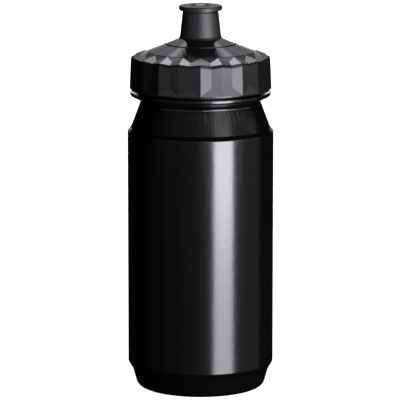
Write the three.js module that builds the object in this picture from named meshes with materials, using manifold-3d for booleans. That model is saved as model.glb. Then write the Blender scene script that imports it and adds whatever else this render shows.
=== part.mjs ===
// A sports squeeze bottle with a faceted screw cap and a push-pull drinking spout.
//
// Units are millimetres and +Z is up. The origin is the centre of the ring that the bottle
// stands on, and every piece is turned about the Z axis. The model shows the bottle closed:
// the cap is screwed down and the spout is pushed in over its centre pin.
//
//   bottle_body   blow-moulded bottle: punt, wall, shoulder, neck, collar and outer thread
//   cap_gasket    soft ring between the bottle's lip and the cap's seat
//   cap_shell     screw cap: faceted grip, cone, inner thread and a ledge for the tower
//   spout_tower   snap-in disc with the tube that the spout slides on and the closing pin
//   tower_seal    soft ring between the tower's disc and the cap's ledge
//   spout_nozzle  push-pull spout
//   nozzle_seal   soft ring in the tower's groove, which wipes the spout's bore

import * as THREE from 'three';
import { mergeVertices } from 'three/addons/utils/BufferGeometryUtils.js';
import Module from 'manifold-3d';

const wasm = await Module();
wasm.setup();

// ---------------------------------------------------------------- driving dimensions

const GAP = 0.3; // between neighbours that touch or nearly touch
const ROUND_SEGMENTS = 60; // facets around the bottle and the cap's bore
const SMALL_SEGMENTS = 40; // facets around the spout's pieces

// bottle
const BODY_R = 37.0; // the 74 mm body that a bicycle bottle cage holds
const WALL = 1.3;
const FOOT_INNER_R = 26.0; // flat standing ring, inner and outer edge
const FOOT_OUTER_R = 29.6;
const FOOT_CORNER_R = 3.65;
const FOOT_LEAN = THREE.MathUtils.degToRad(20.3); // lean of the foot's wall from upright
const SHOULDER_Z = 131.0; // top of the straight wall
const NECK_ROOT_Z = 146.6; // waist between the shoulder's cone and the collar's underside
const NECK_R = 30.6;
const NECK_BORE_R = 29.1;
const COLLAR_R = 35.6;
const COLLAR_Z = 150.4;
const COLLAR_THICKNESS = 1.6;
const LIP_Z = 165.9;

// screw thread, two starts, the same lead on the bottle and in the cap
const THREAD_LEAD = 8.0;
const THREAD_STARTS = 2;
const THREAD_BEAD_R = 1.1;
const THREAD_TURNS = 0.85;
const THREAD_START_Z = 155.9;

// cap
const SECTORS = 20; // grip facets around the cap
const CAP_BORE_R = 32.2;
const CAP_BOTTOM_Z = 153.2;
const SEAT_Z = 168.0; // the gasket's seat inside the cap
const SEAT_INNER_R = 27.5;
const CONE_EDGE = { r: 27.95, z: 172.55 }; // the cone ends in a low step
const CONE_FOOT = { r: 28.15, z: 172.4 }; // where that step meets the grip facets
const SEAM = { r: 18.0, z: 176.25 }; // where the cone meets the tower's disc
const CAP_WALL = 1.95; // thickness of the cone, measured along Z
const LEDGE_Z = 174.0; // top of the ledge that carries the tower
const LEDGE_UNDER_Z = 172.2;
const LEDGE_BORE_R = 14.5;

// spout
const DISC_SEAT_R = 11.0; // flat seat under the spout
const TUBE_R = 7.4;
const TUBE_BORE_R = 5.8;
const TUBE_TOP_Z = 190.5;
const PIN_R = 2.7;
const PIN_TOP_Z = 195.75;
const SPOKE_Z = 182.6;
const NOZZLE_BORE_R = 8.2;
const NOZZLE_TOP_Z = 195.9;
const FLANGE_R = 10.72;
const SEAL_Z = 189.0; // middle of the seal's groove in the tube

const CONE_SLOPE = (SEAM.z - CONE_EDGE.z) / (CONE_EDGE.r - SEAM.r);
const coneZ = (r) => SEAM.z - CONE_SLOPE * (r - SEAM.r);

// ---------------------------------------------------------------- geometry helpers

const point = (r, z) => new THREE.Vector2(r, z);

// Points on a round corner in the (r, z) plane. Angles are in radians, 0 points outwards.
function arc(r, z, radius, from, to, steps) {
  const points = [];
  for (let i = 0; i <= steps; i += 1) {
    const angle = from + ((to - from) * i) / steps;
    points.push(point(r + radius * Math.cos(angle), z + radius * Math.sin(angle)));
  }
  return points;
}

// A body turned about Z from a profile that runs anticlockwise in the (r, z) plane.
function turned(profile, segments) {
  return new THREE.LatheGeometry(profile, segments).rotateX(Math.PI / 2);
}

// A ring's profile closes on itself, so its first point is repeated at its end.
const closed = (profile) => [...profile, profile[0].clone()];

// The Manifold solid of a closed three.js geometry.
function solid(geometry) {
  const bare = geometry.clone();
  bare.deleteAttribute('normal');
  bare.deleteAttribute('uv');
  const merged = mergeVertices(bare, 1e-4);
  const index = merged.index.array;
  const triangles = [];
  for (let i = 0; i < index.length; i += 3) {
    const [a, b, c] = [index[i], index[i + 1], index[i + 2]];
    if (a !== b && b !== c && c !== a) triangles.push(a, b, c);
  }
  const vertProperties = new Float32Array(merged.attributes.position.array);
  const triVerts = new Uint32Array(triangles);
  return new wasm.Manifold(new wasm.Mesh({ numProp: 3, vertProperties, triVerts }));
}

const turnedSolid = (profile, segments) => solid(turned(profile, segments));

function geometryOf(manifold) {
  const mesh = manifold.getMesh();
  const geometry = new THREE.BufferGeometry();
  geometry.setAttribute('position', new THREE.BufferAttribute(mesh.vertProperties, mesh.numProp));
  geometry.setIndex(new THREE.BufferAttribute(mesh.triVerts, 1));
  geometry.computeVertexNormals();
  return geometry;
}

function part(name, geometry, color, roughness) {
  const material = new THREE.MeshStandardMaterial({ color, roughness, metalness: 0, flatShading: true });
  const mesh = new THREE.Mesh(geometry, material);
  mesh.name = name;
  return mesh;
}

// ---------------------------------------------------------------- screw thread

class Helix extends THREE.Curve {
  constructor(radius, startAngle, startZ) {
    super();
    Object.assign(this, { radius, startAngle, startZ });
  }

  getPoint(t, target = new THREE.Vector3()) {
    const angle = this.startAngle + t * THREAD_TURNS * 2 * Math.PI;
    const z = this.startZ + t * THREAD_TURNS * THREAD_LEAD;
    return target.set(this.radius * Math.cos(angle), this.radius * Math.sin(angle), z);
  }
}

// Adds one round bead for each start, centred on a wall of the given radius.
function withThread(body, wallRadius, startZ) {
  const section = new THREE.Shape().absarc(0, 0, THREAD_BEAD_R, 0, 2 * Math.PI);
  let result = body;
  for (let start = 0; start < THREAD_STARTS; start += 1) {
    const path = new Helix(wallRadius, (start * 2 * Math.PI) / THREAD_STARTS, startZ);
    const bead = new THREE.ExtrudeGeometry(section, { steps: 26, curveSegments: 4, extrudePath: path });
    result = result.add(solid(bead));
  }
  return result;
}

// ---------------------------------------------------------------- bottle

function bottleBody() {
  const down = -Math.PI / 2;
  const cornerEnd = -FOOT_LEAN;
  const outside = [
    point(0, 3.0),
    point(19, 2.6),
    point(24.9, 0.9),
    point(FOOT_INNER_R, 0),
    ...arc(FOOT_OUTER_R, FOOT_CORNER_R, FOOT_CORNER_R, down, cornerEnd, 5),
    point(34.75, 9.1),
    point(36.75, 12.45),
    point(BODY_R, 13.3),
    point(BODY_R, SHOULDER_Z),
    point(36.75, 132.1),
    point(35.3, 133.8),
    point(NECK_R + 0.1, NECK_ROOT_Z - 0.4),
    point(NECK_R, NECK_ROOT_Z + 0.3),
    point(NECK_R + 0.4, NECK_ROOT_Z + 0.9),
    point(COLLAR_R - 0.7, COLLAR_Z - 0.1),
    point(COLLAR_R - 0.1, COLLAR_Z + 0.4),
    point(COLLAR_R, COLLAR_Z + 0.9),
    point(COLLAR_R, COLLAR_Z + COLLAR_THICKNESS - 0.3),
    point(COLLAR_R - 0.3, COLLAR_Z + COLLAR_THICKNESS),
    point(NECK_R, COLLAR_Z + COLLAR_THICKNESS),
    point(NECK_R, LIP_Z - 0.4),
    point(NECK_R - 0.4, LIP_Z),
  ];
  const inside = [
    point(NECK_BORE_R + 0.3, LIP_Z),
    point(NECK_BORE_R, LIP_Z - 0.3),
    point(NECK_BORE_R, 146.75),
    point(33.73, 134.2),
    point(35.65, 131.2),
    point(BODY_R - WALL, 130.6),
    point(BODY_R - WALL, 13.6),
    point(33.55, 9.5),
    ...arc(FOOT_OUTER_R, FOOT_CORNER_R, FOOT_CORNER_R - 1.5, cornerEnd, down, 4),
    point(26.6, 1.52),
    point(25.3, 2.5),
    point(19.4, 4.2),
    point(0, 4.7),
  ];
  return withThread(turnedSolid([...outside, ...inside], ROUND_SEGMENTS), NECK_R, THREAD_START_Z);
}

function capGasket() {
  const low = LIP_Z + GAP;
  const high = SEAT_Z - GAP;
  const [inner, outer] = [28.4, 31.6];
  return turned(closed([
    point(inner, low + 0.3),
    point(inner + 0.3, low),
    point(outer - 0.3, low),
    point(outer, low + 0.3),
    point(outer, high - 0.3),
    point(outer - 0.3, high),
    point(inner + 0.3, high),
    point(inner, high - 0.3),
  ]), ROUND_SEGMENTS);
}

// ---------------------------------------------------------------- cap

// The grip has a ridge line at the middle of each sector and a valley line between two
// ridges. On top, the valley ends in a notch, from which a triangle rises to the cone. Below,
// a triangle slopes out from the valley's foot to the skirt. Each ring of corners is given as
// a radius and a height, at the ridge and at the valley.
function gripBlank() {
  const straight = Math.cos(Math.PI / SECTORS); // a ring with straight sides between ridges
  const rings = {
    skirt: { ridge: [35.7, CAP_BOTTOM_Z], valley: [35.7 * straight, CAP_BOTTOM_Z] },
    lip: { ridge: [35.88, 154.1], valley: [35.88 * straight, 154.1] },
    foot: { valley: [34.8, 158.3] },
    rim: { ridge: [35.25, 169.85], valley: [34.376, 169.1] },
    notch: { valley: [31.1, 170.35] },
    cone: {
      ridge: [CONE_FOOT.r, CONE_FOOT.z],
      valley: [CONE_FOOT.r * straight, CONE_FOOT.z],
    },
    edge: {
      ridge: [CONE_EDGE.r, CONE_EDGE.z],
      valley: [CONE_EDGE.r * straight, CONE_EDGE.z],
    },
    crown: { ridge: [SEAM.r, SEAM.z], valley: [SEAM.r, SEAM.z] },
  };
  const vertex = (ring, line, k) => {
    const [r, z] = rings[ring][line];
    const turn = line === 'ridge' ? k : k + 0.5;
    const angle = (turn * 2 * Math.PI) / SECTORS - Math.PI / 2;
    return new THREE.Vector3(r * Math.cos(angle), r * Math.sin(angle), z);
  };
  const positions = [];
  const face = (...corners) => {
    for (let i = 1; i + 1 < corners.length; i += 1) {
      for (const corner of [corners[0], corners[i], corners[i + 1]]) positions.push(...corner.toArray());
    }
  };
  const bottom = new THREE.Vector3(0, 0, CAP_BOTTOM_Z);
  const top = new THREE.Vector3(0, 0, SEAM.z);
  for (let k = 0; k < SECTORS; k += 1) {
    const at = (ring, line, next = 0) => vertex(ring, line, k + next);
    // the two quads of a smooth band between two rings
    const band = (low, high) => {
      face(at(low, 'ridge'), at(low, 'valley'), at(high, 'valley'), at(high, 'ridge'));
      face(at(low, 'valley'), at(low, 'ridge', 1), at(high, 'ridge', 1), at(high, 'valley'));
    };
    face(bottom, at('skirt', 'valley'), at('skirt', 'ridge'));
    face(bottom, at('skirt', 'ridge', 1), at('skirt', 'valley'));
    band('skirt', 'lip');
    face(at('foot', 'valley'), at('lip', 'ridge'), at('lip', 'valley'), at('lip', 'ridge', 1));
    face(at('lip', 'ridge'), at('foot', 'valley'), at('rim', 'valley'), at('rim', 'ridge'));
    face(at('foot', 'valley'), at('lip', 'ridge', 1), at('rim', 'ridge', 1), at('rim', 'valley'));
    face(at('cone', 'ridge'), at('rim', 'ridge'), at('rim', 'valley'), at('notch', 'valley'));
    face(at('cone', 'ridge', 1), at('notch', 'valley'), at('rim', 'valley'), at('rim', 'ridge', 1));
    face(at('notch', 'valley'), at('cone', 'ridge', 1), at('cone', 'valley'), at('cone', 'ridge'));
    band('cone', 'edge');
    band('edge', 'crown');
    face(top, at('crown', 'ridge'), at('crown', 'valley'));
    face(top, at('crown', 'valley'), at('crown', 'ridge', 1));
  }
  const geometry = new THREE.BufferGeometry();
  geometry.setAttribute('position', new THREE.Float32BufferAttribute(positions, 3));
  return geometry;
}

function capShell() {
  const chamfer = 0.9;
  const ledgeRootR = SEAM.r + (SEAM.z - CAP_WALL - LEDGE_UNDER_Z) / CONE_SLOPE;
  const hollow = [
    point(0, CAP_BOTTOM_Z - 1),
    point(CAP_BORE_R + chamfer, CAP_BOTTOM_Z - 1),
    point(CAP_BORE_R, CAP_BOTTOM_Z + chamfer),
    point(CAP_BORE_R, SEAT_Z),
    point(SEAT_INNER_R, SEAT_Z),
    point(SEAT_INNER_R, coneZ(SEAT_INNER_R) - CAP_WALL),
    point(ledgeRootR, LEDGE_UNDER_Z),
    point(LEDGE_BORE_R, LEDGE_UNDER_Z),
    point(LEDGE_BORE_R, LEDGE_Z),
    point(SEAM.r, LEDGE_Z),
    point(SEAM.r, SEAM.z + 1),
    point(0, SEAM.z + 1),
  ];
  const shell = solid(gripBlank()).subtract(turnedSolid(hollow, ROUND_SEGMENTS));
  const halfPitch = THREAD_LEAD / THREAD_STARTS / 2;
  return withThread(shell, CAP_BORE_R, THREAD_START_Z + halfPitch);
}

// ---------------------------------------------------------------- spout

function spoutTower() {
  const discR = SEAM.r - GAP;
  const spigotR = LEDGE_BORE_R - GAP;
  const spigotBoreR = 12.6;
  const snapZ = LEDGE_UNDER_Z - GAP;
  const grooveR = 6.7;
  const [grooveLow, grooveHigh] = [SEAL_Z - 0.8, SEAL_Z + 0.8];
  const seatZ = coneZ(DISC_SEAT_R);
  const shell = turnedSolid(closed([
    point(spigotBoreR, 171.0),
    point(spigotR + 0.3, 171.0),
    point(spigotR + 0.8, snapZ - 0.5),
    point(spigotR + 0.8, snapZ),
    point(spigotR, snapZ),
    point(spigotR, 175.6),
    point(discR, 175.6),
    point(discR, coneZ(discR)),
    point(DISC_SEAT_R, seatZ),
    point(TUBE_R, seatZ),
    point(TUBE_R, 187.0),
    point(TUBE_R + 0.5, 187.3),
    point(TUBE_R + 0.5, 187.6),
    point(TUBE_R, 187.9),
    point(TUBE_R, grooveLow),
    point(grooveR, grooveLow),
    point(grooveR, grooveHigh),
    point(TUBE_R, grooveHigh),
    point(TUBE_R, TUBE_TOP_Z - 0.3),
    point(TUBE_R - 0.3, TUBE_TOP_Z),
    point(TUBE_BORE_R, TUBE_TOP_Z),
    point(TUBE_BORE_R, 177.4),
    point(spigotBoreR, 177.0),
  ]), SMALL_SEGMENTS);
  const pin = turnedSolid([
    point(0, SPOKE_Z - 0.4),
    point(PIN_R - 0.5, SPOKE_Z - 0.4),
    point(PIN_R, SPOKE_Z + 0.1),
    point(PIN_R, PIN_TOP_Z - 0.3),
    point(PIN_R - 0.3, PIN_TOP_Z),
    point(0, PIN_TOP_Z),
  ], 24);
  const [spokeHeight, spokeWidth, spokeCount] = [2.0, 1.6, 3];
  const spokeInnerR = 1.6;
  const spokeOuterR = TUBE_BORE_R + 0.8;
  let tower = shell.add(pin);
  for (let k = 0; k < spokeCount; k += 1) {
    const spoke = new THREE.BoxGeometry(spokeOuterR - spokeInnerR, spokeWidth, spokeHeight);
    spoke.translate((spokeOuterR + spokeInnerR) / 2, 0, SPOKE_Z + spokeHeight / 2);
    spoke.rotateZ((k * 2 * Math.PI) / spokeCount + Math.PI / 2);
    tower = tower.add(solid(spoke));
  }
  return tower;
}

function towerSeal() {
  const low = LEDGE_Z + GAP;
  const high = 175.6 - GAP;
  const [inner, outer] = [15.2, 17.4];
  return turned(closed([
    point(inner, low),
    point(outer, low),
    point(outer, high),
    point(inner, high),
  ]), SMALL_SEGMENTS);
}

function spoutNozzle() {
  const footZ = coneZ(DISC_SEAT_R) + GAP;
  const stopR = 7.7; // inner bead that meets the tube's outer bead when the spout is out
  const holeR = PIN_R + GAP;
  return turned(closed([
    point(NOZZLE_BORE_R, footZ),
    point(10.75, footZ),
    point(10.95, footZ + 0.15),
    point(10.65, footZ + 0.4),
    point(10.42, footZ + 0.95),
    point(9.2, 192.1),
    point(8.85, 192.45),
    point(8.85, 193.1),
    point(FLANGE_R - 0.25, 193.2),
    point(FLANGE_R, 193.45),
    point(FLANGE_R, 195.0),
    point(FLANGE_R - 0.55, 195.55),
    point(5.75, 195.45),
    point(4.5, NOZZLE_TOP_Z),
    point(4.1, 195.6),
    point(holeR, 194.8),
    point(holeR, 192.0),
    point(NOZZLE_BORE_R, 192.0),
    point(NOZZLE_BORE_R, footZ + 1.3),
    point(stopR, footZ + 0.9),
    point(stopR, footZ + 0.5),
  ]), SMALL_SEGMENTS);
}

function nozzleSeal() {
  return turned(closed(arc(7.45, SEAL_Z, 0.45, -Math.PI, Math.PI, 10).slice(0, -1)), SMALL_SEGMENTS);
}

// ---------------------------------------------------------------- assembly

const BOTTLE_BLACK = 0x101113;
const CAP_BLACK = 0x1c1d1f;
const SPOUT_BLACK = 0x18191b;
const SEAL_GREY = 0x303236;

const group = new THREE.Group();
group.add(
  part('bottle_body', geometryOf(bottleBody()), BOTTLE_BLACK, 0.3),
  part('cap_gasket', capGasket(), SEAL_GREY, 0.7),
  part('cap_shell', geometryOf(capShell()), CAP_BLACK, 0.6),
  part('spout_tower', geometryOf(spoutTower()), CAP_BLACK, 0.5),
  part('tower_seal', towerSeal(), SEAL_GREY, 0.7),
  part('spout_nozzle', spoutNozzle(), SPOUT_BLACK, 0.45),
  part('nozzle_seal', nozzleSeal(), SEAL_GREY, 0.7),
);

export default group;
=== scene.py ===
"""Looks for the sports squeeze bottle: fine meshes, moulded-plastic materials, studio and camera.

Outlines are in millimetres, as (radius, height, corner radius), and run anticlockwise: out
along the bottom, up the outside and down the inside. Every mesh is built in metres around
the Z axis, in the frame of the CAD pieces that it replaces.
"""

import math

import bmesh
import bpy
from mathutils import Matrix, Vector


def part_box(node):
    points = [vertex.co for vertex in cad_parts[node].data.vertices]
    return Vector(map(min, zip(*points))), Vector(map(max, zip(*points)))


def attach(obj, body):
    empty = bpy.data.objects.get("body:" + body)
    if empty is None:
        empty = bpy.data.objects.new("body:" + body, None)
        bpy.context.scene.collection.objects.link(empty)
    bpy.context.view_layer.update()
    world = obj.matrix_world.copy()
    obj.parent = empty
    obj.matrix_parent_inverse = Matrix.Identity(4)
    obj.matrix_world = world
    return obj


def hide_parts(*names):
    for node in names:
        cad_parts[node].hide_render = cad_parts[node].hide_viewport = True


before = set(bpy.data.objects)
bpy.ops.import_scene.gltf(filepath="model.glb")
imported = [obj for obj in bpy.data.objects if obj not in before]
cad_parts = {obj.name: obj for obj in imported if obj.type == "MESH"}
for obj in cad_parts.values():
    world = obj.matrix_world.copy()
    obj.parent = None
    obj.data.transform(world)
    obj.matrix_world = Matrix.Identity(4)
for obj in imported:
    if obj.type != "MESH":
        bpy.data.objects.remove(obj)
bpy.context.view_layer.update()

MM = 0.001
TAU = 2 * math.pi

# ------------------------------------------------------------------ sizes from the frame


def top_of(node):
    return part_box(node)[1].z / MM


def bottom_of(node):
    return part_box(node)[0].z / MM


def radius_of(node):
    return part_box(node)[1].x / MM


BODY_R = radius_of("bottle_body")
LIP_Z = top_of("bottle_body")
CAP_BOTTOM_Z = bottom_of("cap_shell")
SEAM_Z = top_of("cap_shell")
TOWER_LOW, PIN_TOP_Z = bottom_of("spout_tower"), top_of("spout_tower")
DISC_R = radius_of("spout_tower")
NOZZLE_LOW, NOZZLE_TOP_Z = bottom_of("spout_nozzle"), top_of("spout_nozzle")
FLANGE_R = radius_of("spout_nozzle")

# ------------------------------------------------------------------ other driving sizes, mm

SECTORS = 20  # grip panels around the cap
STEPS = 12  # mesh steps across one grip panel
SEGMENTS = SECTORS * STEPS  # mesh steps around every turned piece
CORNER_STEPS = 7  # mesh steps around a rounded corner

NECK_R = 30.6
NECK_BORE_R = 29.1
COLLAR_R = 35.6
COLLAR_Z = 150.4
COLLAR_TOP_Z = 152.0
WALL = 1.3

THREAD_LEAD = 8.0
THREAD_STARTS = 2
THREAD_BEAD_R = 1.1
THREAD_TURNS = 0.85
THREAD_FADE = 0.06  # turns over which a bead runs out at each end
THREAD_STEP = 0.22  # mesh steps up the neck's threaded wall
CAP_THREAD_STEP = 0.25  # and up the cap's
BOTTLE_THREAD_Z = 155.9
CAP_THREAD_Z = BOTTLE_THREAD_Z + THREAD_LEAD / THREAD_STARTS / 2

CAP_BORE_R = 32.2
SEAM_R = 18.0
CONE_EDGE_R, CONE_EDGE_Z = 27.95, 172.55
CONE_FOOT_R, CONE_FOOT_Z = 28.15, 172.4
CONE_SLOPE = (SEAM_Z - CONE_EDGE_Z) / (CONE_EDGE_R - SEAM_R)
CAP_WALL = 1.95  # thickness of the cone, measured along Z
SPOKES = 3  # between the closing pin and its tube


def cone_z(r):
    return SEAM_Z - CONE_SLOPE * (r - SEAM_R)


# ------------------------------------------------------------------ outlines and meshes


def rounded(corners, closed=False):
    """The points of an outline whose corners are rounded by their own radii."""
    points = []
    last = len(corners) - 1
    for i, (r, z, radius) in enumerate(corners):
        here = Vector((r, z))
        if radius == 0 or (not closed and i in (0, last)):
            points.append(here)
            continue
        back = (Vector(corners[i - 1][:2]) - here).normalized()
        on = (Vector(corners[(i + 1) % len(corners)][:2]) - here).normalized()
        half = back.angle(on) / 2
        centre = here + (back + on).normalized() * (radius / math.sin(half))
        reach = radius / math.tan(half)
        arms = [here + arm * reach - centre for arm in (back, on)]
        start, end = [math.atan2(arm.y, arm.x) for arm in arms]
        sweep = (end - start + math.pi) % TAU - math.pi
        for k in range(CORNER_STEPS + 1):
            angle = start + sweep * k / CORNER_STEPS
            points.append(centre + radius * Vector((math.cos(angle), math.sin(angle))))
    return points


def subdivided(points, low, high, step):
    """Adds points to an outline's upright stretches between two heights."""
    result = [points[0]]
    for a, b in zip(points, points[1:]):
        upright = abs(a.x - b.x) < 0.01 and min(a.y, b.y) < high and max(a.y, b.y) > low
        count = max(1, round(abs(b.y - a.y) / step)) if upright else 1
        result += [a.lerp(b, k / count) for k in range(1, count + 1)]
    return result


def ring(bm, r, z, relief=None):
    """One ring of vertices about Z. Its first vertex faces -Y."""
    verts = []
    for k in range(SEGMENTS):
        angle = TAU * k / SEGMENTS - math.pi / 2
        reach = (r + relief(r, z, angle)) if relief else r
        verts.append(bm.verts.new((reach * math.cos(angle) * MM, reach * math.sin(angle) * MM, z * MM)))
    return verts


def skin(bm, low, high):
    """Joins two rings, or a ring and a single vertex, with faces."""
    for k in range(max(len(low), len(high))):
        corners = [
            low[k % len(low)],
            low[(k + 1) % len(low)],
            high[(k + 1) % len(high)],
            high[k % len(high)],
        ]
        bm.faces.new(list(dict.fromkeys(corners)))


def turned(bm, outline, closed=False, relief=None):
    """A body turned about Z, from an outline that closes on itself or runs from axis to axis."""
    rings = []
    for r, z in outline:
        rings.append(ring(bm, r, z, relief) if r > 1e-6 else [bm.verts.new((0, 0, z * MM))])
    for low, high in zip(rings, rings[1:]):
        skin(bm, low, high)
    if closed:
        skin(bm, rings[-1], rings[0])


def piece(name, bm, body, node, bevel=0.0):
    """Turns a bmesh into a smooth piece that rides on a body and stands for a CAD node."""
    for face in bm.faces:
        face.smooth = True
    mesh = bpy.data.meshes.new(name)
    bm.to_mesh(mesh)
    bm.free()
    obj = bpy.data.objects.new(name, mesh)
    bpy.context.scene.collection.objects.link(obj)
    if bevel:
        rounding = obj.modifiers.new("rounded_edges", "BEVEL")
        rounding.limit_method = "WEIGHT"
        rounding.width = bevel * MM
        rounding.segments = 4
    weighted = obj.modifiers.new("weighted_normals", "WEIGHTED_NORMAL")
    weighted.keep_sharp = True
    weighted.weight = 80
    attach(obj, body)
    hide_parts(node)
    return obj


def thread_height(angle, z, start_z):
    """How far the thread's round beads stand out of their wall at this angle and height."""
    height = 0.0
    for start in range(THREAD_STARTS):
        turn = (angle / TAU - start / THREAD_STARTS) % 1.0
        if turn < THREAD_TURNS:
            across = abs(z - start_z - turn * THREAD_LEAD) / THREAD_BEAD_R
            fade = min(1.0, turn / THREAD_FADE, (THREAD_TURNS - turn) / THREAD_FADE)
            if across < 1:
                height = max(height, THREAD_BEAD_R * math.sqrt(1 - across**2) * math.sin(fade * TAU / 4))
    return height


# ------------------------------------------------------------------ bottle


def bottle():
    """The punt, foot, wall, neck, collar and threaded mouth, and then the inside."""
    punt_top_z, punt_r, punt_z = 3.0, 21.0, 2.6
    stand_inner_r, stand_outer_r, floor_z = 25.2, 32.15, 1.5
    foot_r, foot_z = 34.75, 9.1
    wall_low_z, wall_high_z = 12.9, 131.8
    shoulder_r, shoulder_z = 35.3, 133.8
    waist_r, waist_z = NECK_R - 0.35, 147.2
    outside = [
        (0, punt_top_z, 0),
        (punt_r, punt_z, 4.0),
        (stand_inner_r, 0, 1.2),
        (stand_outer_r, 0, 3.65),
        (foot_r, foot_z, 1.0),
        (BODY_R, wall_low_z, 1.6),
        (BODY_R, wall_high_z, 0.6),
        (shoulder_r, shoulder_z, 0.3),
        (waist_r, waist_z, 1.7),
        (COLLAR_R, COLLAR_Z - 0.1, 0.9),
        (COLLAR_R, COLLAR_TOP_Z, 0.35),
        (NECK_R, COLLAR_TOP_Z, 0.4),
        (NECK_R, LIP_Z, 0.5),
    ]
    inside = [
        (NECK_BORE_R, LIP_Z, 0.4),
        (NECK_BORE_R, waist_z - 0.45, 1.0),
        (shoulder_r - 1.57, shoulder_z + 0.4, 1.0),
        (BODY_R - WALL, wall_high_z - 0.8, 1.0),
        (BODY_R - WALL, wall_low_z + 0.4, 1.6),
        (foot_r - 1.35, foot_z + 0.35, 1.0),
        (stand_outer_r - 0.84, floor_z, 2.9),
        (stand_inner_r + 1.0, floor_z, 1.2),
        (punt_r + 0.2, punt_z + 1.6, 4.0),
        (0, punt_top_z + 1.7, 0),
    ]
    outline = subdivided(rounded(outside + inside), COLLAR_TOP_Z, LIP_Z, THREAD_STEP)

    def relief(r, z, angle):
        return thread_height(angle, z, BOTTLE_THREAD_Z) if abs(r - NECK_R) < 0.01 else 0.0

    bm = bmesh.new()
    turned(bm, outline, relief=relief)
    return piece("bottle", bm, "bottle", "bottle_body")


# ------------------------------------------------------------------ cap


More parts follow.
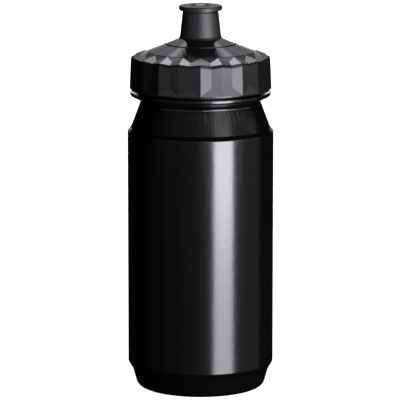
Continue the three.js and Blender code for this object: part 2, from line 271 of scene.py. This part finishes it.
def cap():
    """The grip's flat panels, the smooth cone above them and the turned inside, in one skin."""
    bm = bmesh.new()
    weight = bm.edges.layers.float.new("bevel_weight_edge")
    ridge_angle = TAU / SECTORS

    def vertex(r, z, turn):
        angle = ridge_angle * turn - math.pi / 2
        return bm.verts.new((r * math.cos(angle) * MM, r * math.sin(angle) * MM, z * MM))

    def straight_ring(r, z):
        """A ring of SEGMENTS vertices on the straight lines between the ridges."""
        verts = []
        for k in range(SEGMENTS):
            turn = k / STEPS
            lean = ridge_angle * (turn - math.floor(turn) - 0.5)
            verts.append(vertex(r * math.cos(ridge_angle / 2) / math.cos(lean), z, turn))
        return verts

    def ridge_row(r, z):
        return [vertex(r, z, k) for k in range(SECTORS)]

    def valley_row(r, z):
        return [vertex(r, z, k + 0.5) for k in range(SECTORS)]

    # The grip's corners, from the bottom up. Rows on ridges and in valleys take turns around it.
    skirt = straight_ring(35.78, CAP_BOTTOM_Z)
    band = straight_ring(35.9, CAP_BOTTOM_Z + 0.25)
    lip = ridge_row(35.88, CAP_BOTTOM_Z + 0.9)
    foot = valley_row(34.8, 158.3)
    brow, brow_dip = ridge_row(35.3, 168.4), valley_row(34.44, 167.65)
    rim, dip = ridge_row(34.85, 169.85), valley_row(33.95, 169.1)
    notch = valley_row(31.1, 170.35)
    cone_foot = straight_ring(CONE_FOOT_R, CONE_FOOT_Z)
    cone_edge = straight_ring(CONE_EDGE_R, CONE_EDGE_Z)
    for vert in cone_edge:
        vert.co.z = cone_z(math.hypot(vert.co.x, vert.co.y) / MM) * MM
    smooth_r = CONE_EDGE_R - 1.2
    cone_low = ring(bm, smooth_r, cone_z(smooth_r))
    skin(bm, skirt, band)
    skin(bm, cone_foot, cone_edge)
    skin(bm, cone_edge, cone_low)

    def dense(verts, k):
        """The vertices of a dense ring from ridge k to ridge k + 1."""
        return [verts[i % SEGMENTS] for i in range(k * STEPS, (k + 1) * STEPS + 1)]

    for k in range(SECTORS):
        n = (k + 1) % SECTORS
        apex = [cone_foot[k * STEPS], cone_foot[n * STEPS]]
        bm.faces.new([*dense(band, k), lip[n], lip[k]])
        bm.faces.new([lip[k], lip[n], foot[k]])
        bm.faces.new([lip[k], foot[k], brow_dip[k], brow[k]])
        bm.faces.new([foot[k], lip[n], brow[n], brow_dip[k]])
        bm.faces.new([brow[k], brow_dip[k], dip[k], rim[k]])
        bm.faces.new([brow_dip[k], brow[n], rim[n], dip[k]])
        bm.faces.new([rim[k], dip[k], notch[k], apex[0]])
        bm.faces.new([dip[k], rim[n], apex[1], notch[k]])
        bm.faces.new([notch[k], *reversed(dense(cone_foot, k))])

    edge_at = {frozenset(edge.verts): edge for edge in bm.edges}

    def edges(*pairs):
        return [edge_at[frozenset(pair)] for pair in pairs]

    rim_weight, ridge_weight = 1.0, 0.4
    for k in range(SECTORS):
        n = (k + 1) % SECTORS
        apex = [cone_foot[k * STEPS], cone_foot[n * STEPS]]
        rim_edges = [(rim[k], dip[k]), (dip[k], rim[n]), (brow[k], brow_dip[k]), (brow_dip[k], brow[n])]
        ridge_edges = [
            (brow[k], lip[k]),
            (brow_dip[k], foot[k]),
            (foot[k], lip[k]),
            (foot[k], lip[n]),
            (lip[k], lip[n]),
            (rim[k], apex[0]),
            (dip[k], notch[k]),
            (brow[k], rim[k]),
            (brow_dip[k], dip[k]),
        ]
        for edge in edges(*rim_edges):
            edge[weight] = rim_weight
        for edge in edges(*ridge_edges):
            edge[weight] = ridge_weight
        foot_chord, edge_chord = dense(cone_foot, k), dense(cone_edge, k)
        chords = [*zip(foot_chord, foot_chord[1:]), *zip(edge_chord, edge_chord[1:])]
        for edge in edges((apex[0], notch[k]), (notch[k], apex[1]), *chords):
            edge.smooth = False

    ledge_z, ledge_under_z, ledge_bore_r = 174.0, 172.2, 14.5
    ledge_root_r = SEAM_R + (SEAM_Z - CAP_WALL - ledge_under_z) / CONE_SLOPE
    seat_z, seat_inner_r = 168.0, 27.5
    hole_r = SEAM_R + 0.1
    inside = [
        (smooth_r, cone_z(smooth_r), 0),
        (hole_r, cone_z(hole_r), 0.4),
        (hole_r, ledge_z, 0.2),
        (ledge_bore_r, ledge_z, 0.2),
        (ledge_bore_r, ledge_under_z, 0.2),
        (ledge_root_r, ledge_under_z, 0.8),
        (seat_inner_r, cone_z(seat_inner_r) - CAP_WALL, 0.5),
        (seat_inner_r, seat_z, 0.2),
        (CAP_BORE_R, seat_z, 0.3),
        (CAP_BORE_R, CAP_BOTTOM_Z + 1.0, 0.4),
        (CAP_BORE_R + 0.9, CAP_BOTTOM_Z, 0),
    ]
    outline = subdivided(rounded(inside), CAP_BOTTOM_Z + 1.2, seat_z, CAP_THREAD_STEP)

    def relief(r, z, angle):
        return -thread_height(angle, z, CAP_THREAD_Z) if abs(r - CAP_BORE_R) < 0.01 else 0.0

    rings = [cone_low] + [ring(bm, r, z, relief) for r, z in outline[1:]]
    for low, high in zip(rings, rings[1:]):
        skin(bm, low, high)
    skin(bm, rings[-1], skirt)
    return piece("cap", bm, "cap", "cap_shell", bevel=0.25)


# ------------------------------------------------------------------ spout


def tower():
    """The disc that snaps into the cap, and the tube that the spout slides on."""
    disc_r, disc_under_z = DISC_R - 0.05, 175.6
    spigot_r, spigot_bore_r, snap_r = 14.2, 12.6, 15.0
    seat_r = 11.0
    seat_z = cone_z(seat_r) + 0.2
    tube_r, tube_bore_r, tube_top_z, tube_inlet_z = 7.4, 5.8, 190.5, 177.4
    stop_r, stop_z = tube_r + 0.5, 187.0
    groove_r, groove_low, groove_high = 6.7, 188.2, 189.8
    corners = [
        (spigot_bore_r, TOWER_LOW, 0.3),
        (spigot_r + 0.3, TOWER_LOW, 0.2),
        (snap_r, TOWER_LOW + 0.4, 0.2),
        (snap_r, TOWER_LOW + 0.9, 0.1),
        (spigot_r, TOWER_LOW + 0.9, 0.1),
        (spigot_r, disc_under_z, 0.3),
        (disc_r, disc_under_z, 0.2),
        (disc_r, cone_z(disc_r), 0.4),
        (seat_r, seat_z, 0.6),
        (tube_r, seat_z, 0.5),
        (tube_r, stop_z, 0.1),
        (stop_r, stop_z + 0.3, 0.15),
        (stop_r, stop_z + 0.6, 0.15),
        (tube_r, stop_z + 0.9, 0.1),
        (tube_r, groove_low, 0.1),
        (groove_r, groove_low, 0.1),
        (groove_r, groove_high, 0.1),
        (tube_r, groove_high, 0.1),
        (tube_r, tube_top_z, 0.3),
        (tube_bore_r, tube_top_z, 0.3),
        (tube_bore_r, tube_inlet_z, 0.3),
        (spigot_bore_r, tube_inlet_z - 0.4, 0.5),
    ]
    bm = bmesh.new()
    turned(bm, rounded(corners, closed=True), closed=True)
    return piece("tower", bm, "cap", "spout_tower")


def box(bm, near, far):
    """Makes the six faces of a box with these two ends, and returns all of their edges."""
    faces = [bm.faces.new(list(reversed(near))), bm.faces.new(far)]
    for k in range(4):
        faces.append(bm.faces.new([near[k], near[(k + 1) % 4], far[(k + 1) % 4], far[k]]))
    return list({edge for face in faces for edge in face.edges})


def pin():
    """The closing pin and the three spokes that hold it in the tube."""
    spoke_low, spoke_high, half_width, spoke_r = 182.6, 184.6, 0.8, 5.95
    pin_r, pin_low = 2.7, 182.2
    corners = [
        (0, pin_low, 0),
        (pin_r, pin_low, 0.6),
        (pin_r, PIN_TOP_Z, 0.35),
        (0, PIN_TOP_Z, 0),
    ]
    bm = bmesh.new()
    turned(bm, rounded(corners))
    for k in range(SPOKES):
        turn = TAU * k / SPOKES + TAU / 4
        along = Vector((math.cos(turn), math.sin(turn)))
        across = Vector((-math.sin(turn), math.cos(turn))) * half_width
        ends = []
        for reach in (pin_r - 0.6, spoke_r):
            right, left = along * reach - across, along * reach + across
            corners = [(*right, spoke_low), (*left, spoke_low), (*left, spoke_high), (*right, spoke_high)]
            ends.append([bm.verts.new(Vector(corner) * MM) for corner in corners])
        bmesh.ops.bevel(bm, geom=box(bm, *ends), offset=0.25 * MM, segments=3, profile=0.5, affect="EDGES")
    return piece("tower_pin", bm, "cap", "spout_tower")


def nozzle():
    """The spout: a tapered skirt, a groove under its flange, and a raised lip around the hole."""
    bore_r, bore_top_z, catch_r = 8.2, 192.0, 7.7
    skirt_low_r, skirt_r, skirt_top_r, skirt_top_z = 11.1, 10.45, 9.17, 192.3
    groove_r, flange_low, flange_high = 8.6, 193.15, 195.55
    hole_r, lip_inner_r, lip_r, lip_outer_r = 3.0, 4.05, 4.5, 5.75
    corners = [
        (bore_r, NOZZLE_LOW, 0.2),
        (skirt_low_r, NOZZLE_LOW, 0.12),
        (skirt_r, NOZZLE_LOW + 0.7, 1.4),
        (skirt_top_r, skirt_top_z, 0.1),
        (groove_r, skirt_top_z + 0.2, 0.1),
        (groove_r, flange_low - 0.05, 0.1),
        (FLANGE_R, flange_low, 0.35),
        (FLANGE_R, flange_high, 0.7),
        (lip_outer_r, flange_high - 0.09, 0.2),
        (lip_r, NOZZLE_TOP_Z + 0.02, 0.2),
        (lip_inner_r, flange_high + 0.05, 0.15),
        (hole_r, flange_high - 0.85, 0.3),
        (hole_r, bore_top_z, 0.2),
        (bore_r, bore_top_z, 0.5),
        (bore_r, NOZZLE_LOW + 1.3, 0.2),
        (catch_r, NOZZLE_LOW + 0.9, 0.1),
        (catch_r, NOZZLE_LOW + 0.5, 0.1),
    ]
    bm = bmesh.new()
    turned(bm, rounded(corners, closed=True), closed=True)
    return piece("nozzle", bm, "nozzle", "spout_nozzle")


# ------------------------------------------------------------------ soft rings


def soft_ring(name, body, node, corner_radius):
    """A ring with a rounded section that fills its CAD node's own box."""
    inner_r = min(math.hypot(v.co.x, v.co.y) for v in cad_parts[node].data.vertices) / MM
    outer_r = radius_of(node)
    low, high = bottom_of(node), top_of(node)
    corners = [
        (inner_r, low, corner_radius),
        (outer_r, low, corner_radius),
        (outer_r, high, corner_radius),
        (inner_r, high, corner_radius),
    ]
    bm = bmesh.new()
    turned(bm, rounded(corners, closed=True), closed=True)
    return piece(name, bm, body, node)


# ------------------------------------------------------------------ materials


class Nodes:
    """A small helper for writing a material's node tree."""

    def __init__(self, name):
        self.material = bpy.data.materials.new(name)
        self.material.use_nodes = True
        self.tree = self.material.node_tree
        self.shader = self.tree.nodes["Principled BSDF"]
        self.position = self.add("ShaderNodeTexCoord").outputs["Object"]

    def add(self, kind, **settings):
        node = self.tree.nodes.new(kind)
        for key, value in settings.items():
            setattr(node, key, value)
        return node

    def link(self, source, target):
        self.tree.links.new(source, target)

    def math(self, operation, a, b=0.0):
        node = self.add("ShaderNodeMath", operation=operation)
        for socket, value in zip(node.inputs, (a, b)):
            if isinstance(value, (int, float)):
                socket.default_value = value
            else:
                self.link(value, socket)
        return node.outputs[0]

    def noise(self, scale, detail=2.0, vector=None):
        node = self.add("ShaderNodeTexNoise")
        node.inputs["Scale"].default_value = scale
        node.inputs["Detail"].default_value = detail
        self.link(vector or self.position, node.inputs["Vector"])
        return node.outputs["Fac"]

    def split(self, vector):
        node = self.add("ShaderNodeSeparateXYZ")
        self.link(vector, node.inputs[0])
        return node.outputs

    def joined(self, *parts):
        node = self.add("ShaderNodeCombineXYZ")
        for socket, part in zip(node.inputs, parts):
            self.link(part, socket)
        return node.outputs[0]

    def around(self, factor):
        """Coordinates on the unit circle around the axis, with the height times a factor."""
        parts = self.split(self.position)
        flat = self.joined(parts["X"], parts["Y"])
        unit = self.add("ShaderNodeVectorMath", operation="NORMALIZE")
        self.link(flat, unit.inputs[0])
        turn = self.split(unit.outputs[0])
        return self.joined(turn["X"], turn["Y"], self.math("MULTIPLY", parts["Z"], factor))

    def ramp(self, start, end):
        """Goes from 0 to 1 between two heights, in millimetres."""
        node = self.add("ShaderNodeMapRange")
        self.link(self.split(self.position)["Z"], node.inputs["Value"])
        node.inputs["From Min"].default_value = start * MM
        node.inputs["From Max"].default_value = end * MM
        return node.outputs[0]

    def spread(self, value, low, high):
        """Maps the middle of a noise, from 0.3 to 0.7, to a range."""
        node = self.add("ShaderNodeMapRange")
        self.link(value, node.inputs["Value"])
        node.inputs["From Min"].default_value = 0.3
        node.inputs["From Max"].default_value = 0.7
        node.inputs["To Min"].default_value = low
        node.inputs["To Max"].default_value = high
        return node.outputs[0]

    def bump(self, height, depth, below=None):
        """A bump of a depth in millimetres, laid over the normal of the bump below it."""
        node = self.add("ShaderNodeBump")
        node.inputs["Strength"].default_value = 1.0
        node.inputs["Distance"].default_value = depth * MM
        self.link(height, node.inputs["Height"])
        if below:
            self.link(below, node.inputs["Normal"])
        return node.outputs[0]

    def colour(self, value, tones):
        """Blends a dark tone into a light one."""
        node = self.add("ShaderNodeMix", data_type="RGBA")
        node.inputs[6].default_value = (*tones[0], 1)
        node.inputs[7].default_value = (*tones[1], 1)
        self.link(value, node.inputs[0])
        return node.outputs[2]

    def finish(self, colour, roughness, normal, specular=0.5):
        self.link(colour, self.shader.inputs["Base Color"])
        self.link(roughness, self.shader.inputs["Roughness"])
        self.link(normal, self.shader.inputs["Normal"])
        self.shader.inputs["Specular IOR Level"].default_value = specular
        return self.material


BOTTLE_TONES = (0.0012, 0.0012, 0.0014), (0.0022, 0.0022, 0.0026)
SATIN_TONES = (0.0060, 0.0060, 0.0066), (0.0090, 0.0090, 0.0098)
SEAL_TONES = (0.045, 0.046, 0.05), (0.075, 0.076, 0.08)


def bottle_material():
    """Blow-moulded polyethylene: glossy, with a soft orange peel and fine upright lines.

    Stronger streaks fade in up the neck and out again just under its waist.
    """
    n = Nodes("bottle_black")
    die_lines = n.noise(60.0, 3.0, n.around(1.0))
    grain = n.noise(2600.0, 1.0)
    gloss = n.math("ADD", n.math("MULTIPLY", die_lines, 0.5), n.math("MULTIPLY", grain, 0.5))
    streaks = n.noise(42.0, 1.0, n.around(0.6))
    on_neck = n.math("MULTIPLY", n.ramp(134.0, 141.0), n.ramp(146.5, 144.5))
    peel_bump = n.bump(n.noise(260.0, 2.0), 0.03)
    line_bump = n.bump(die_lines, 0.008, below=peel_bump)
    streak_bump = n.bump(n.math("MULTIPLY", streaks, on_neck), 0.2, below=line_bump)
    return n.finish(n.colour(n.noise(60.0), BOTTLE_TONES), n.spread(gloss, 0.17, 0.21), streak_bump)


def cap_material():
    """Polypropylene from a polished mould, with a fine even grain."""
    n = Nodes("cap_black")
    cloud = n.noise(90.0, 2.0)
    grain_bump = n.bump(n.noise(2400.0, 2.0), 0.02)
    return n.finish(n.colour(cloud, SATIN_TONES), n.spread(cloud, 0.05, 0.07), grain_bump, specular=0.35)


def spout_material():
    """Satin polyethylene, with its gloss varying a little around and along the spout."""
    n = Nodes("spout_black")
    patches = n.noise(16.0, 2.0, n.around(12.0))
    grain_bump = n.bump(n.noise(2400.0, 1.0), 0.03)
    return n.finish(n.colour(n.noise(120.0), SATIN_TONES), n.spread(patches, 0.40, 0.48), grain_bump)


def seal_material():
    """Soft silicone, dull, with a trace of dust in its grain."""
    n = Nodes("seal_grey")
    grain = n.noise(1500.0, 3.0)
    return n.finish(n.colour(grain, SEAL_TONES), n.spread(grain, 0.55, 0.7), n.bump(grain, 0.04))


# ------------------------------------------------------------------ studio

TARGET_X, TARGET_Z = -0.28, 95.87  # the camera looks at this point
CAMERA_DISTANCE = 1650.0
CAMERA_PITCH = math.radians(10.3)
SENSOR_WIDTH = 36.0
FOCAL_LENGTH = 291.7
FRONT_DISTANCE, BACK_DISTANCE = 1000.0, 1600.0  # from the bottle to the light panels
COOL_WHITE = (0.97, 0.975, 1.03)

# Light panels. Azimuths and elevations are in degrees: azimuth 0 is the camera's side, 90 is
# +X and 180 is straight behind. A radiance of 1 is white in the picture.
KEY = 20.5, 51.5  # azimuths of the panel that makes the tall highlight
FRONT_PANELS = [
    ("key_low", KEY, (-24, -11), 9.4),
    ("key_middle", KEY, (-11, -4), 21.5),
    ("key_high", KEY, (-4, 4), 10),
    ("key_rise", KEY, (4, 18), 6.5),
    ("key_top", (24, 54), (18, 40), 1.8),
    ("wing_front", (4, 20.5), (-2, 3), 6.5),
    ("wing_front_high", (4, 20.5), (3, 18), 5.4),
    ("wing_side", (51.5, 68), (-2, 3), 7.4),
    ("wing_side_high", (51.5, 68), (3, 18), 5.9),
    ("fill_left", (-75, 4), (-1, 18), 0.6),
    ("fill_right", (68, 105), (-1, 18), 0.85),
    ("fill_right_low", (51.5, 105), (-24, -1), 0.18),
    ("fill_right_high", (54, 105), (18, 40), 0.18),
]
# The left fill fades away from the camera: azimuths and the share of the radiance.
FILL_FADE = [((-85, -55), 0.25), ((-55, -28), 0.5), ((-28, -2), 0.75), ((-2, 20.5), 1.0)]
FILL_LOW, FILL_HIGH = 0.10, 0.20
# Behind, in the middle: half the width in azimuth, elevations, radiance.
BACK_PANELS = [
    ("overhead_high", 25, (64, 86), 0.65),
    ("overhead", 11.2, (53.2, 65), 6.7),
    ("horizon_top", 20, (31, 41), 0.8),
    ("horizon_high", 20, (24, 31), 0.5),
    ("horizon_middle", 20, (12, 24), 0.45),
    ("horizon_low", 20, (4, 12), 1.3),
    ("back", 6, (-14, 4), 6.0),
]
# Behind, one on each side: azimuths from straight behind, elevations, radiance.
BACK_PAIRS = [
    ("overhead_side", (11.2, 23), (51, 64), 3.9),
    ("overhead_low", (11.2, 14.5), (41, 51), 2.9),
    ("overhead_low_far", (14.5, 23), (41, 51), 2.2),
    ("horizon_side", (20, 26), (20, 34), 0.25),
    ("overhead_wide", (30, 40), (50, 64), 2.4),
    ("overhead_far", (27, 37), (36, 50), 0.6),
]


def floor():
    """A plain white sheet that doesn't show in reflections and takes no shadow."""
    mesh = bpy.data.meshes.new("floor")
    half = 8000.0 * MM
    corners = [(-half, -half, 0), (half, -half, 0), (half, half, 0), (-half, half, 0)]
    mesh.from_pydata(corners, [], [range(4)])
    obj = bpy.data.objects.new("floor", mesh)
    bpy.context.scene.collection.objects.link(obj)
    material = bpy.data.materials.new("floor_white")
    material.use_nodes = True
    shader = material.node_tree.nodes["Principled BSDF"]
    shader.inputs["Base Color"].default_value = (0.9, 0.9, 0.9, 1)
    shader.inputs["Roughness"].default_value = 0.9
    shader.inputs["Emission Color"].default_value = (1, 1, 1, 1)
    shader.inputs["Emission Strength"].default_value = 1.0
    mesh.materials.append(material)
    obj.visible_glossy = False
    obj.visible_diffuse = False
    obj.visible_shadow = False


def softbox(name, azimuths, elevations, radiance, distance):
    """A soft panel that faces the bottle and fills the given angles."""
    half_width, half_height = [math.radians(abs(b - a) / 2) for a, b in (azimuths, elevations)]
    azimuth, elevation = math.radians(sum(azimuths) / 2), math.radians(sum(elevations) / 2)
    light = bpy.data.lights.new(name, "AREA")
    light.shape = "RECTANGLE"
    light.color = COOL_WHITE
    light.size = 2 * distance * MM * math.tan(half_width) * math.cos(elevation)
    light.size_y = 2 * distance * MM * math.tan(half_height)
    light.energy = radiance * math.pi * light.size * light.size_y
    obj = bpy.data.objects.new(name, light)
    level = math.cos(elevation)
    towards = Vector((math.sin(azimuth) * level, -math.cos(azimuth) * level, math.sin(elevation)))
    obj.location = (Vector((0, 0, TARGET_Z)) + towards * distance) * MM
    obj.rotation_euler = towards.to_track_quat("Z", "Y").to_euler()
    obj.visible_camera = False
    bpy.context.scene.collection.objects.link(obj)


def lights():
    for name, azimuths, elevations, radiance in FRONT_PANELS:
        softbox(name, azimuths, elevations, radiance, FRONT_DISTANCE)
    for k, (azimuths, share) in enumerate(FILL_FADE):
        softbox(f"fill_left_low_{k}", azimuths, (-24, -1), FILL_LOW * share, FRONT_DISTANCE)
        softbox(f"fill_left_high_{k}", azimuths, (18, 40), FILL_HIGH * share, FRONT_DISTANCE)
    for name, half, elevations, radiance in BACK_PANELS:
        softbox(name, (180 - half, 180 + half), elevations, radiance, BACK_DISTANCE)
    for name, (near, far), elevations, radiance in BACK_PAIRS:
        softbox(f"{name}_left", (180 + near, 180 + far), elevations, radiance, BACK_DISTANCE)
        softbox(f"{name}_right", (180 - far, 180 - near), elevations, radiance, BACK_DISTANCE)


def camera():
    data = bpy.data.cameras.new("camera")
    data.sensor_width = SENSOR_WIDTH
    data.lens = FOCAL_LENGTH
    data.clip_end = 50
    obj = bpy.data.objects.new("camera", data)
    away = Vector((0, -math.cos(CAMERA_PITCH), math.sin(CAMERA_PITCH)))
    obj.location = (Vector((TARGET_X, 0, TARGET_Z)) + away * CAMERA_DISTANCE) * MM
    obj.rotation_euler = away.to_track_quat("Z", "Y").to_euler()
    bpy.context.scene.collection.objects.link(obj)
    bpy.context.scene.camera = obj


def studio():
    scene = bpy.context.scene
    scene.view_settings.view_transform = "Standard"
    world = bpy.data.worlds.new("studio")
    world.use_nodes = True
    world.node_tree.nodes["Background"].inputs["Color"].default_value = (0.004, 0.004, 0.004, 1)
    scene.world = world
    floor()
    lights()


# ------------------------------------------------------------------ build

camera()
studio()

black_bottle, black_cap = bottle_material(), cap_material()
black_spout, grey_seal = spout_material(), seal_material()
finishes = [
    (bottle(), black_bottle),
    (cap(), black_cap),
    (tower(), black_cap),
    (pin(), black_cap),
    (nozzle(), black_spout),
    (soft_ring("gasket", "gasket", "cap_gasket", 0.45), grey_seal),
    (soft_ring("tower_ring", "cap", "tower_seal", 0.3), grey_seal),
    (soft_ring("nozzle_ring", "cap", "nozzle_seal", 0.44), grey_seal),
]
for made, finish in finishes:
    made.data.materials.append(finish)
